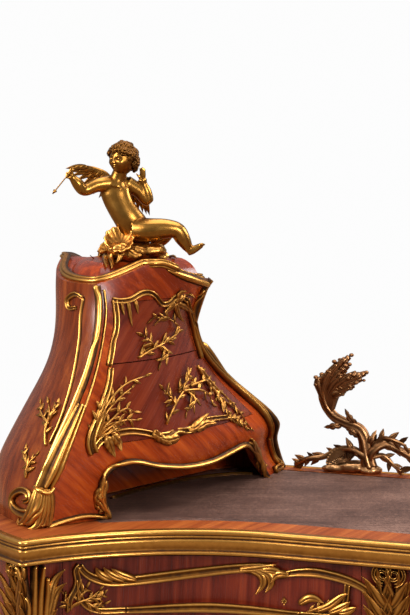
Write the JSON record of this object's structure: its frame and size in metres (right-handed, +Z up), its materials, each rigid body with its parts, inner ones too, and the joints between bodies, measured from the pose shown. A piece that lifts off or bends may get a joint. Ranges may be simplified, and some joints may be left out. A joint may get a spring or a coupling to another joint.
{
  "type": "writing desk",
  "caption": "Kidney-shaped writing desk with bronze mounts, a leather top, waisted drawer cabinets on its wings that carry seated figures, a scrolling gallery and frieze drawers.",
  "frame": {"origin": "on the floor, at the middle of the desk's plan box", "axes": "+X runs along the desk to the sitter's right, +Y goes away from the sitter, +Z is up"},
  "size_m": [2.16, 0.805, 1.4626],
  "materials": {
    "veneer": "French-polished kingwood veneer",
    "panel_veneer": "polished dark veneer panels",
    "lining_wood": "plain waxed oak",
    "leather": "worn dark brown hide",
    "gilt_bronze": "gilt bronze with dark recesses",
    "dark_bronze": "copper-brown bronze"
  },
  "bodies": {
    "desk": {"back_panel": "veneer", "bay_dividers": "lining_wood", "cabinet_back_left": "veneer", "cabinet_back_right": "veneer", "cabinet_crown_bead_left": "gilt_bronze", "cabinet_crown_bead_right": "gilt_bronze", "cabinet_edges_left": "gilt_bronze", "cabinet_edges_right": "gilt_bronze", "cabinet_front_left": "veneer", "cabinet_front_right": "veneer", "cabinet_lid_left": "veneer", "cabinet_lid_right": "veneer", "cabinet_shelves_left": "lining_wood", "cabinet_shelves_right": "lining_wood", "cabinet_side_left": "veneer", "cabinet_side_right": "veneer", "end_panel_left": "veneer", "end_panel_right": "veneer", "figure_left": "gilt_bronze", "figure_right": "gilt_bronze", "figure_rock_left": "gilt_bronze", "figure_rock_right": "gilt_bronze", "frieze_floor": "lining_wood", "frieze_front": "veneer", "gallery_left": "dark_bronze", "gallery_right": "dark_bronze", "leather_panel": "leather", "leg_chutes": "gilt_bronze", "leg_shoes": "gilt_bronze", "legs_back": "veneer", "legs_knee": "veneer", "legs_rear": "veneer", "legs_tip": "veneer", "niche_lining_left": "lining_wood", "niche_lining_right": "lining_wood", "rim_moulding": "gilt_bronze", "top_board": "veneer"},
    "knee_drawer": {"knee_drawer_box": "lining_wood", "knee_drawer_bronze": "gilt_bronze", "knee_drawer_front": "panel_veneer"},
    "lower_drawer_left": {"lower_drawer_box_left": "lining_wood", "lower_drawer_bronze_left": "gilt_bronze", "lower_drawer_front_left": "panel_veneer"},
    "lower_drawer_right": {"lower_drawer_box_right": "lining_wood", "lower_drawer_bronze_right": "gilt_bronze", "lower_drawer_front_right": "panel_veneer"},
    "upper_drawer_left": {"upper_drawer_box_left": "lining_wood", "upper_drawer_bronze_left": "gilt_bronze", "upper_drawer_front_left": "panel_veneer"},
    "upper_drawer_right": {"upper_drawer_box_right": "lining_wood", "upper_drawer_bronze_right": "gilt_bronze", "upper_drawer_front_right": "panel_veneer"},
    "wing_drawer_left": {"wing_drawer_box_left": "lining_wood", "wing_drawer_bronze_left": "gilt_bronze", "wing_drawer_front_left": "panel_veneer"},
    "wing_drawer_right": {"wing_drawer_box_right": "lining_wood", "wing_drawer_bronze_right": "gilt_bronze", "wing_drawer_front_right": "panel_veneer"}
  },
  "joints": [
    {"name": "upper_drawer_left_slide", "type": "slide", "parent": "desk", "child": "upper_drawer_left", "axis": [0.9304, -0.3665, 0], "range_m": [0, 0.07]},
    {"name": "upper_drawer_right_slide", "type": "slide", "parent": "desk", "child": "upper_drawer_right", "axis": [-0.9304, -0.3665, 0], "range_m": [0, 0.07]},
    {"name": "lower_drawer_left_slide", "type": "slide", "parent": "desk", "child": "lower_drawer_left", "axis": [0.9304, -0.3665, 0], "range_m": [0, 0.12]},
    {"name": "lower_drawer_right_slide", "type": "slide", "parent": "desk", "child": "lower_drawer_right", "axis": [-0.9304, -0.3665, 0], "range_m": [0, 0.12]},
    {"name": "wing_drawer_left_slide", "type": "slide", "parent": "desk", "child": "wing_drawer_left", "axis": [0.3057, -0.9521, 0], "range_m": [0, 0.22]},
    {"name": "wing_drawer_right_slide", "type": "slide", "parent": "desk", "child": "wing_drawer_right", "axis": [-0.3057, -0.9521, 0], "range_m": [0, 0.22]},
    {"name": "knee_drawer_slide", "type": "slide", "parent": "desk", "child": "knee_drawer", "axis": [0, -1, 0], "range_m": [0, 0.28]}
  ]
}
